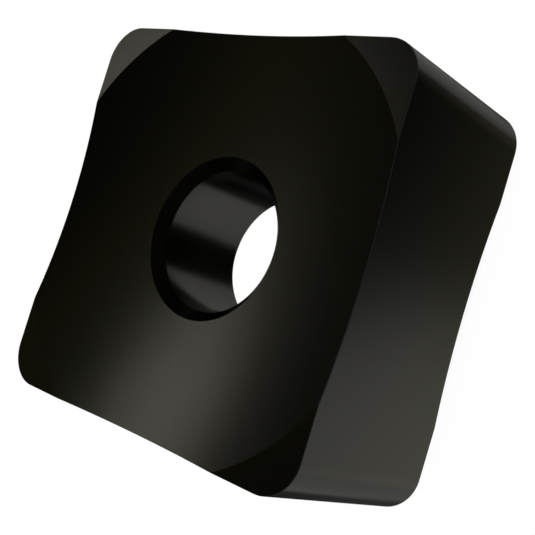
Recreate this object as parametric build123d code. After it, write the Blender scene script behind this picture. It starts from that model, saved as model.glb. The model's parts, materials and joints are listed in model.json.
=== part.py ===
from build123d import *
import os
from math import sqrt

# A square double-sided indexable insert, pressed and sintered from carbide as one piece.
# Millimetres. +Z runs along the clamping screw's hole, and the sides are square to X and Y.
# The origin is the middle of the seat, level with the four lower corner lands.

# Driving dimensions
side_length = 12.7            # across the flats, which is also the inscribed circle
thickness = 6.1               # from the lower corner lands to the upper ones
corner_radius = 1.2           # nose radius of the four upright corners
land_length = 1.215           # flat land at each corner, measured along the diagonal
dish_radius = 24.3            # radius of the spherical hollow in each face
bore_diameter = 4.57          # parallel wall in the middle of the screw hole
countersink_width = 0.335     # how far the countersink's rim stands outside the bore
countersink_depth = 0.37      # height of the countersink's cone
edge_hone = 0.05              # rounding along the cutting edges of both faces


def rise_to_centre(circle_radius):
    """How far the dish sphere's centre lies above the plane of a circle on the dish."""
    return sqrt(dish_radius**2 - circle_radius**2)


# Radii and heights that follow from the driving dimensions
middle_height = thickness / 2
corner_reach = side_length / sqrt(2) - corner_radius * (sqrt(2) - 1)
land_circle_radius = corner_reach - land_length
dish_centre_height = thickness + rise_to_centre(land_circle_radius)
bore_radius = bore_diameter / 2
rim_radius = bore_radius + countersink_width
rim_height = dish_centre_height - rise_to_centre(rim_radius)
bore_top_height = rim_height - countersink_depth


def make_blank():
    """The square block with its rounded upright corners."""
    plan = RectangleRounded(side_length, side_length, corner_radius)
    return extrude(plan, thickness)


def make_dishes():
    """The two spheres that hollow the faces and leave a flat land at each corner."""
    upper = Pos(Z=dish_centre_height) * Rot(X=90) * Sphere(dish_radius)
    return upper + mirror(upper, Plane.XY.offset(middle_height))


def make_screw_hole():
    """The parallel bore with its countersink to each face, cut past both faces."""
    cone_slope = countersink_width / countersink_depth
    mouth_radius = rim_radius + cone_slope * (thickness - rim_height)
    upper_outline = [
        (bore_radius, bore_top_height),
        (mouth_radius, thickness),
        (0, thickness),
    ]
    lower_outline = [(radius, thickness - height) for radius, height in reversed(upper_outline)]
    outline = Plane.XZ * Polyline(*upper_outline, *lower_outline, close=True)
    return revolve(make_face(outline), Axis.Z)


def hone_cutting_edges(body):
    """Round each edge where an upright side meets a corner land or a dish."""
    uprights = body.faces().filter_by(lambda face: abs(face.normal_at().Z) < 0.001)
    cutting_edges = uprights.edges().filter_by(Axis.Z, reverse=True)
    return fillet(cutting_edges, edge_hone)


insert = hone_cutting_edges(make_blank() - make_dishes()) - make_screw_hole()

os.makedirs("parts", exist_ok=True)
export_step(insert, "parts/insert.step")
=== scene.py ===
import json
from math import cos, pi, radians, sin, sqrt, tan

import bpy
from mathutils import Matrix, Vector


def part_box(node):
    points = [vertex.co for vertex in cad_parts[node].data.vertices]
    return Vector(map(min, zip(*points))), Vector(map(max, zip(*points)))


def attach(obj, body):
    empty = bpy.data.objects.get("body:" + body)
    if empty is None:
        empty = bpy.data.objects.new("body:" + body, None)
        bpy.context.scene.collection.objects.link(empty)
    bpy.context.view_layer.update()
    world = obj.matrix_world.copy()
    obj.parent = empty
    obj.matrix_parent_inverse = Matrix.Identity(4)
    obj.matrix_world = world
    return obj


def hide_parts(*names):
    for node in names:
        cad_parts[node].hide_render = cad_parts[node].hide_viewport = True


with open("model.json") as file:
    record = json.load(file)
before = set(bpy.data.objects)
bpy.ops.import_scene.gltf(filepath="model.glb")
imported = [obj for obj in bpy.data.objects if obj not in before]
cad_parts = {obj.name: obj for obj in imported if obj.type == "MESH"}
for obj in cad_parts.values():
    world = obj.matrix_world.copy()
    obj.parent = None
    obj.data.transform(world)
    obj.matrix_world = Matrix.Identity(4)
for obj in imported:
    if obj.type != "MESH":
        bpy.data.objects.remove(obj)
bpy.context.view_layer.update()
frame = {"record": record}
millimetre = 0.001
samePlace = 0.001 * millimetre             # points closer than this are one point

insertForm = {
    "cornerRadius": 1.2 * millimetre,      # nose of each upright corner
    "landLength": 1.215 * millimetre,      # flat land at a corner, along the diagonal
    "dishRadius": 24.3 * millimetre,       # sphere that hollows each face
    "countersinkWidth": 0.335 * millimetre,
    "countersinkDepth": 0.37 * millimetre,
    "honeWidth": 0.025 * millimetre,       # rounding along the cutting edges
    "spokes": 180,                         # faces round the hole
    "innerRings": 16,                      # rings of the dish inside the sides
    "innerReach": 0.98,                    # how near to the sides they come
    "outerRings": (9, 11, 13),             # rings past the sides, by the spoke where they cross one
    "cornerSteps": 20,
    "honeSteps": 5,
    "flatAngle": 0.05,                     # degrees: faces that are flatter than this are joined
    "creaseAngle": 12,                     # edges that are sharper than this stay crisp
    "outlineAngle": 60,                    # only the outlines of the two faces are this sharp
    "dishAngle": 3,                        # how far a face of the dish may lean from the sphere
    "outlineBand": (0.9, 0.999),           # of half the side and the land circle, holds a dish's outline
}


def clearSelection():
    if bpy.context.object and bpy.context.object.mode != "OBJECT":
        bpy.ops.object.mode_set(mode="OBJECT")
    bpy.ops.object.select_all(action="DESELECT")


def startEditing(piece):
    clearSelection()
    piece.select_set(True)
    bpy.context.view_layer.objects.active = piece
    bpy.ops.object.mode_set(mode="EDIT")


def applyModifier(piece, kind, **settings):
    clearSelection()
    piece.select_set(True)
    bpy.context.view_layer.objects.active = piece
    modifier = piece.modifiers.new(kind.title(), kind)
    for name, value in settings.items():
        setattr(modifier, name, value)
    bpy.ops.object.modifier_apply(modifier=modifier.name)


def selectSharp(overDegrees):
    bpy.ops.mesh.select_all(action="DESELECT")
    bpy.ops.mesh.edges_select_sharp(sharpness=radians(overDegrees))


def riseToCentre(form, radius):
    # how far the dish sphere's centre lies above a circle on the dish
    return sqrt(form["dishRadius"] ** 2 - radius ** 2)


def turnedRings(form, boreRadius, halfHeight, landCircle):
    # radius and height of each ring above the first, from the bore out over the dish
    centreHeight = halfHeight + riseToCentre(form, landCircle)
    rimRadius = boreRadius + form["countersinkWidth"]
    lastRadius = form["innerReach"] * insertSide / 2
    steps = form["innerRings"]
    radii = [rimRadius + (lastRadius - rimRadius) * step / steps for step in range(steps + 1)]
    # past the sides a ring meets each side at a spoke, which keeps slivers off the cutting edge
    radii += [insertSide / 2 / cos(2 * pi * spoke / form["spokes"]) for spoke in form["outerRings"]]
    radii.append(landCircle)
    rings = [(boreRadius, centreHeight - riseToCentre(form, rimRadius) - form["countersinkDepth"])]
    rings += [(radius, centreHeight - riseToCentre(form, radius)) for radius in radii]
    rings.append((insertSide, halfHeight))  # past the corners
    rings.append((insertSide, 0))
    return rings


def makeTurnedBlank(form, boreRadius, halfHeight, landCircle):
    clearSelection()
    bpy.ops.mesh.primitive_circle_add(vertices=form["spokes"], radius=boreRadius, fill_type="NOTHING")
    blank = bpy.context.object
    startEditing(blank)
    lastRadius, lastHeight = boreRadius, 0
    for radius, height in turnedRings(form, boreRadius, halfHeight, landCircle):
        bpy.ops.mesh.extrude_edges_move(TRANSFORM_OT_translate={"value": (0, 0, height - lastHeight)})
        growth = radius / lastRadius
        bpy.ops.transform.resize(value=(growth, growth, 1))
        lastRadius, lastHeight = radius, height
    clearSelection()
    applyModifier(blank, "MIRROR", use_axis=(False, False, True), merge_threshold=samePlace)
    startEditing(blank)
    bpy.ops.mesh.select_all(action="SELECT")
    bpy.ops.mesh.normals_make_consistent(inside=False)
    clearSelection()
    return blank


def selectInMode(piece, mode, elements, wanted):
    startEditing(piece)
    bpy.ops.mesh.select_mode(type=mode)
    bpy.ops.mesh.select_all(action="DESELECT")
    bpy.ops.object.mode_set(mode="OBJECT")
    for element in elements(piece.data):
        element.select = wanted(element)
    bpy.ops.object.mode_set(mode="EDIT")


def ends(piece, edge):
    return [piece.data.vertices[corner].co for corner in edge.vertices]


def isUpright(piece, edge):
    start, end = ends(piece, edge)
    return (start - end).to_2d().length < samePlace


def endsArc(piece, edge, form, landCircle):
    # where the arc of a land runs out over the hone
    start, end = ends(piece, edge)
    middle = (start + end) / 2
    inHone = max(abs(middle.x), abs(middle.y)) > insertSide / 2 - form["honeWidth"]
    return inHone and abs(middle.to_2d().length - landCircle) < form["honeWidth"]


def makeSquareBlock(form, height):
    clearSelection()
    bpy.ops.mesh.primitive_cube_add(size=1, scale=(insertSide, insertSide, height))
    block = bpy.context.object
    bpy.ops.object.transform_apply(location=True, rotation=True, scale=True)
    selectInMode(block, "EDGE", lambda mesh: mesh.edges, lambda edge: isUpright(block, edge))
    bpy.ops.mesh.bevel(offset=form["cornerRadius"], segments=form["cornerSteps"], affect="EDGES")
    clearSelection()
    return block


def pointDishNormals(piece, form, centre, landCircle):
    # a dish is part of a sphere, so its normals meet at the centre
    def inDish(face):
        return face.normal.angle(centre - face.center) < radians(form["dishAngle"])

    dishCorners = {corner for face in piece.data.polygons if inDish(face) for corner in face.vertices}
    nearest, farthest = form["outlineBand"]

    def inOutline(corner):
        radius = corner.co.to_2d().length
        return corner.index in dishCorners and nearest * insertSide / 2 < radius < farthest * landCircle

    selectInMode(piece, "FACE", lambda mesh: mesh.polygons, inDish)
    bpy.ops.mesh.point_normals(mode="COORDINATES", target_location=centre)
    # and the hone starts from the same normals
    selectInMode(piece, "VERT", lambda mesh: mesh.vertices, inOutline)
    bpy.ops.mesh.point_normals(mode="COORDINATES", target_location=centre)
    clearSelection()


def makeInsert(form):
    boreRadius = screwBore["dims"]["r_mm"] * millimetre
    cornerReach = insertSide / sqrt(2) - form["cornerRadius"] * (sqrt(2) - 1)
    landCircle = cornerReach - form["landLength"]
    turned = makeTurnedBlank(form, boreRadius, insertHeight / 2, landCircle)
    insert = makeSquareBlock(form, 2 * insertHeight)
    applyModifier(insert, "BOOLEAN", object=turned, operation="INTERSECT", solver="EXACT")
    bpy.data.objects.remove(turned)

    startEditing(insert)
    bpy.ops.mesh.select_all(action="SELECT")
    bpy.ops.mesh.remove_doubles(threshold=samePlace)
    bpy.ops.mesh.dissolve_limited(angle_limit=radians(form["flatAngle"]))
    bpy.ops.mesh.select_mode(type="EDGE")
    selectSharp(form["creaseAngle"])
    bpy.ops.mesh.mark_sharp()
    selectSharp(form["outlineAngle"])
    bpy.ops.mesh.mark_sharp(clear=True)
    bpy.ops.mesh.bevel(offset=form["honeWidth"], segments=form["honeSteps"], affect="EDGES",
                       clamp_overlap=False, mark_sharp=True, face_strength_mode="ALL")
    selectInMode(insert, "EDGE", lambda mesh: mesh.edges,
                 lambda edge: endsArc(insert, edge, form, landCircle))
    bpy.ops.mesh.mark_sharp()
    bpy.ops.mesh.select_all(action="SELECT")
    bpy.ops.transform.translate(value=(0, 0, insertHeight / 2))
    bpy.ops.mesh.normals_make_consistent(inside=False)
    clearSelection()
    insert.select_set(True)
    bpy.ops.object.shade_smooth()
    applyModifier(insert, "WEIGHTED_NORMAL", keep_sharp=True, use_face_influence=True)
    centreRise = insertHeight / 2 + riseToCentre(form, landCircle)
    for side in (-1, 1):
        centre = Vector((0, 0, insertHeight / 2 + side * centreRise))
        pointDishNormals(insert, form, centre, landCircle)
    insert.name = "coated_insert"
    insert.data.name = "coated_insert"
    return insert


insertLow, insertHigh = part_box("insert")
insertSide = insertHigh.x - insertLow.x
insertHeight = insertHigh.z - insertLow.z
screwBore = next(mount for mount in frame["record"]["mounts"] if mount["name"] == "screw_bore")

insert = makeInsert(insertForm)
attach(insert, "root")
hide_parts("insert")
print("insert modelled:", len(insert.data.polygons), "faces")


class Wire:
    # an output socket of a shader node, so that shader maths reads as expressions
    def __init__(self, tree, socket):
        self.tree, self.socket = tree, socket

    def joined(self, operation, *values):
        settings = {"operation": operation}
        return addNode(self.tree, "ShaderNodeMath", settings, dict(enumerate(values))).out("Value")

    def __add__(self, other):
        return self.joined("ADD", self, other)

    def __radd__(self, other):
        return self.joined("ADD", other, self)

    def __sub__(self, other):
        return self.joined("SUBTRACT", self, other)

    def __rsub__(self, other):
        return self.joined("SUBTRACT", other, self)

    def __mul__(self, other):
        return self.joined("MULTIPLY", self, other)

    def __rmul__(self, other):
        return self.joined("MULTIPLY", other, self)

    def __truediv__(self, other):
        return self.joined("DIVIDE", self, other)

    def __rtruediv__(self, other):
        return self.joined("DIVIDE", other, self)

    def __gt__(self, other):
        return self.joined("GREATER_THAN", self, other)

    def __abs__(self):
        return self.joined("ABSOLUTE", self)


class NodeBox:
    def __init__(self, tree, node):
        self.tree, self.node = tree, node

    def out(self, name):
        return Wire(self.tree, self.node.outputs[name])


def addNode(tree, nodeType, settings=None, values=None):
    node = tree.nodes.new(nodeType)
    for name, value in (settings or {}).items():
        setattr(node, name, value)
    for name, value in (values or {}).items():
        if isinstance(value, Wire):
            tree.links.new(value.socket, node.inputs[name])
        else:
            node.inputs[name].default_value = value
    return NodeBox(tree, node)


def softStep(tree, value, low, high):
    return addNode(tree, "ShaderNodeMapRange", {"interpolation_type": "SMOOTHSTEP"}, {
        "Value": value, "From Min": low, "From Max": high}).out("Result")


def noise(tree, place, look):
    return addNode(tree, "ShaderNodeTexNoise", {}, {
        "Vector": place, "Scale": look["scale"], "Detail": look["detail"],
        "Roughness": look["roughness"]}).out(0)


def newMaterial(name):
    material = bpy.data.materials.new(name)
    material.use_nodes = True
    material.node_tree.nodes.clear()
    return material, material.node_tree


coatLook = {
    "darkTone": (0.0002, 0.00018, 0.00006, 1),   # a black coat with a trace of brown
    "lightTone": (0.0004, 0.00036, 0.00012, 1),
    "mottle": {"scale": 900, "detail": 4.0, "roughness": 0.6},   # patches of about a millimetre
    "sheen": (1, 0.98, 0.92, 1),           # tint of what the coat mirrors
    "refraction": 2.0,
    "roughness": 0.222,
    "roughnessSpread": 0.012,
    "grain": {"scale": 16000, "detail": 2.0, "roughness": 0.5},  # sintered grain, about 0.06 mm
    "grainDepth": 0.0004 * millimetre,
}


def coatMaterial(look):
    material, tree = newMaterial("coatedCarbide")
    place = addNode(tree, "ShaderNodeTexCoord").out("Object")
    mottle = noise(tree, place, look["mottle"])
    # 6, 7 and 2 are the Mix node's two colours in and its colour out
    tone = addNode(tree, "ShaderNodeMix", {"data_type": "RGBA"}, {
        "Factor": mottle, 6: look["darkTone"], 7: look["lightTone"]}).out(2)
    roughness = look["roughness"] + (mottle - 0.5) * 2 * look["roughnessSpread"]
    relief = addNode(tree, "ShaderNodeBump", {}, {
        "Height": noise(tree, place, look["grain"]), "Strength": 1.0,
        "Distance": look["grainDepth"]}).out("Normal")
    shader = addNode(tree, "ShaderNodeBsdfPrincipled", {}, {
        "Base Color": tone,
        "Roughness": roughness,
        "Normal": relief,
        "IOR": look["refraction"],
        "Specular Tint": look["sheen"],
    }).out("BSDF")
    addNode(tree, "ShaderNodeOutputMaterial", {}, {"Surface": shader})
    return material


insert.data.materials.clear()
insert.data.materials.append(coatMaterial(coatLook))
print("coat made")

floorLook = {
    "size": 3.0,                           # metres
    "colour": (0.95, 0.95, 0.95, 1),
    "glow": 0.8,                           # share of the paper that the camera sees as plain white
    "holeEdge": (3.6 * millimetre, 4.6 * millimetre),   # plain white inside it, as seen through the bore
    "farEdge": (30 * millimetre, 120 * millimetre),     # and from here outwards
}


def makeFloor(look):
    clearSelection()
    bpy.ops.mesh.primitive_plane_add(size=look["size"])
    floor = bpy.context.object
    floor.name = "floor"
    material, tree = newMaterial("paperFloor")
    seen = addNode(tree, "ShaderNodeLightPath").out("Is Camera Ray")
    place = addNode(tree, "ShaderNodeTexCoord").out("Object")
    distance = addNode(tree, "ShaderNodeVectorMath", {"operation": "LENGTH"}, {0: place}).out("Value")
    pastHole = softStep(tree, distance, *look["holeEdge"])
    farOut = softStep(tree, distance, *look["farEdge"])
    glowShare = 1 - pastHole * (1 - farOut) * (1 - look["glow"])
    paper = addNode(tree, "ShaderNodeBsdfDiffuse", {}, {"Color": look["colour"]}).out("BSDF")
    glow = addNode(tree, "ShaderNodeEmission", {}, {"Strength": 1.0}).out("Emission")
    mixed = addNode(tree, "ShaderNodeMixShader", {}, {0: seen * glowShare, 1: paper, 2: glow}).out("Shader")
    addNode(tree, "ShaderNodeOutputMaterial", {}, {"Surface": mixed})
    floor.data.materials.append(material)
    floor.visible_glossy = False           # the coat mirrors the studio, not the paper


makeFloor(floorLook)
print("floor laid")

# What the coat mirrors. A place is an azimuth from +X towards +Y and an elevation, a size is half the
# width and half the height, and they, the turn and the soft edge are in degrees. Warmth is the share
# of a box's light that has the warm colour.
softBoxes = {
    # in the dishes and the lands
    "upperKey": dict(place=(165.1, 41.9), size=(6.1, 5.5), turn=-30.8, edge=1.1, light=0.706, warmth=0.1),
    "upperHalo": dict(place=(169.3, 38.1), size=(7.3, 2.5), edge=1, light=0.108, warmth=0.25),
    "upperStrip": dict(place=(147.3, 64), size=(48.4, 5.7), turn=-23.2, edge=1.2, light=0.021, warmth=0.8),
    "upperWall": dict(place=(172.2, 30.6), size=(35.6, 31.7), edge=20, light=0.018, warmth=0.4),
    # in the sides, the round corners and the bore
    "lowerLeft": dict(place=(-46, -49.3), size=(27, 21.5), turn=-5.7, edge=1.5, light=0.281, warmth=0.05),
    "lowerLeftTop": dict(place=(-46, -36), size=(27, 9), edge=6, light=0.121, warmth=0.2),
    "lowerRight": dict(place=(96.8, -36), size=(23.2, 24.2), turn=8.5, edge=1.5, light=0.222, warmth=0.05),
    "lowerRightTop": dict(place=(88, -42), size=(15, 4), edge=4, light=0.08, warmth=0.1),
    "lowerFar": dict(place=(-136, -62.5), size=(24, 9), edge=5, light=0.062),
    "lowerNear": dict(place=(14, -72.8), size=(24, 13.7), edge=6, light=0.11, warmth=0.3),
    "lowerFarTop": dict(place=(-133, -47), size=(9, 6), edge=4, light=0.022),
    # for the sides that face away from the camera
    "lowerBack": dict(place=(178, -44), size=(12, 9), edge=8, light=0.25),
    "cornerLeft": dict(place=(-135, -34), size=(14, 5), edge=4, light=0.22),
    "cornerFar": dict(place=(135, -34), size=(14, 5), edge=4, light=0.15),
    # for the dishes and the countersinks, seen from elsewhere
    "highFront": dict(place=(0, 68), size=(16, 7), edge=4, light=0.35),
    "highLeft": dict(place=(-60, 60), size=(14, 8), edge=4, light=0.4),
    "highRight": dict(place=(60, 58), size=(14, 8), edge=4, light=0.4),
    "left": dict(place=(-98, 47), size=(12, 7), edge=3, light=0.45),
    "right": dict(place=(100, 45), size=(12, 7), edge=3, light=0.45),
    "farLeft": dict(place=(-134, 33), size=(10, 7), edge=4, light=0.4),
    "farRight": dict(place=(130, 32), size=(9, 8), edge=4, light=0.4),
    "frontLeft": dict(place=(-45, 12), size=(18, 5), edge=4, light=0.35),
    "front": dict(place=(0, 11), size=(14, 5), edge=4, light=0.25),
    "frontRight": dict(place=(45, 11), size=(18, 5), edge=4, light=0.35),
}
for side in range(4):                      # and a broad strip below the horizon for each side
    softBoxes[f"sideStrip{side}"] = dict(place=(90 * side, -17), size=(22, 6), edge=12, light=0.33)

studio = {
    "bandLow": -40,                        # a faint band of light all round, in degrees
    "bandHigh": -5,
    "bandLight": 0.2,
    "secondImage": 0.4,                    # light left in what the coat mirrors twice
    "backdrop": 1.0,
    "warmColour": (1, 0.9, 0, 1),
}


def direction(azimuth, elevation):
    around, up = radians(azimuth), radians(elevation)
    return Vector((cos(up) * cos(around), cos(up) * sin(around), sin(up)))


def along(tree, ray, axis):
    settings = {"operation": "DOT_PRODUCT"}
    return addNode(tree, "ShaderNodeVectorMath", settings, {0: ray, 1: axis}).out("Value")


def softBox(tree, ray, setup):
    azimuth, elevation = setup["place"]
    centre = direction(azimuth, elevation)
    across = direction(azimuth + 90, 0)
    upward = centre.cross(across)
    turn, edge = radians(setup.get("turn", 0)), tan(radians(setup["edge"]))
    axes = across * cos(turn) + upward * sin(turn), upward * cos(turn) - across * sin(turn)
    ahead = along(tree, ray, centre)
    mask = ahead > 0                       # a box doesn't show again behind its back
    for axis, half in zip(axes, setup["size"]):
        inside = tan(radians(half)) - abs(along(tree, ray, axis) / ahead)
        mask = mask * softStep(tree, inside, -edge, edge)
    return mask * setup["light"]


def makeWorld(look, boxes):
    world = bpy.data.worlds.new("studio")
    world.use_nodes = True
    bpy.context.scene.world = world
    tree = world.node_tree
    tree.nodes.clear()
    ray = addNode(tree, "ShaderNodeTexCoord").out("Generated")
    height = along(tree, ray, Vector((0, 0, 1)))
    bandMiddle = (look["bandLow"] + look["bandHigh"]) / 2
    low, middle, high = (sin(radians(angle)) for angle in (look["bandLow"], bandMiddle, look["bandHigh"]))
    rise = softStep(tree, height, low, middle)
    fall = softStep(tree, height, middle, high)
    shine = rise * (1 - fall) * look["bandLight"]
    warmShine = 0
    for setup in boxes.values():
        warmth = setup.get("warmth", 0)
        glow = softBox(tree, ray, setup)
        shine = shine + glow * (1 - warmth)
        warmShine = glow * warmth + warmShine
    lightPath = addNode(tree, "ShaderNodeLightPath")
    seen = lightPath.out("Is Camera Ray")
    mirroredTwice = lightPath.out("Glossy Depth") > 1
    kept = 1 - mirroredTwice * (1 - look["secondImage"])
    shine, warmShine = shine * kept, warmShine * kept
    cool = addNode(tree, "ShaderNodeBackground", {}, {
        "Color": (1, 1, 1, 1), "Strength": seen * look["backdrop"] + (1 - seen) * shine}).out("Background")
    warm = addNode(tree, "ShaderNodeBackground", {}, {
        "Color": look["warmColour"], "Strength": (1 - seen) * warmShine}).out("Background")
    both = addNode(tree, "ShaderNodeAddShader", {}, {0: cool, 1: warm}).out("Shader")
    addNode(tree, "ShaderNodeOutputWorld", {}, {"Surface": both})


# The lamps light the paper and cast the shadow, and the coat doesn't mirror them. Their angles are in
# degrees, their lengths in metres and their power in watts.
lamps = [
    {"azimuth": -4.8, "elevation": 48.4, "distance": 0.4, "size": 0.08, "power": 1.5},
    {"azimuth": 0, "elevation": 90, "distance": 0.5, "size": 0.5, "power": 1.1},
]


def makeLamp(setup):
    clearSelection()
    place = direction(setup["azimuth"], setup["elevation"]) * setup["distance"]
    facing = place.to_track_quat("Z", "Y").to_euler()   # lamps shine along -Z, so towards the insert
    bpy.ops.object.light_add(type="AREA", location=place, rotation=facing)
    lamp = bpy.context.object
    lamp.data.shape = "DISK"
    lamp.data.size = setup["size"]
    lamp.data.energy = setup["power"]
    lamp.visible_glossy = False
    lamp.visible_camera = False


makeWorld(studio, softBoxes)
for lamp in lamps:
    makeLamp(lamp)
print("studio lit")

cameraSetup = {
    "place": Vector((20.7093, -1.7434, 26.3973)) * millimetre,
    "turn": (18.0555, 40.1113, 22.6012),   # degrees
    "lens": 64.66,                         # focal length in millimetres
    "shift": (0.08049, -0.03291),
    "nearest": 1 * millimetre,             # what is nearer to the camera isn't drawn
}


def makeCamera(setup):
    clearSelection()
    turn = [radians(angle) for angle in setup["turn"]]
    bpy.ops.object.camera_add(location=setup["place"], rotation=turn)
    camera = bpy.context.object
    camera.data.lens = setup["lens"]
    camera.data.shift_x, camera.data.shift_y = setup["shift"]
    camera.data.clip_start = setup["nearest"]
    bpy.context.scene.camera = camera


makeCamera(cameraSetup)
bpy.context.scene.view_settings.view_transform = "Standard"
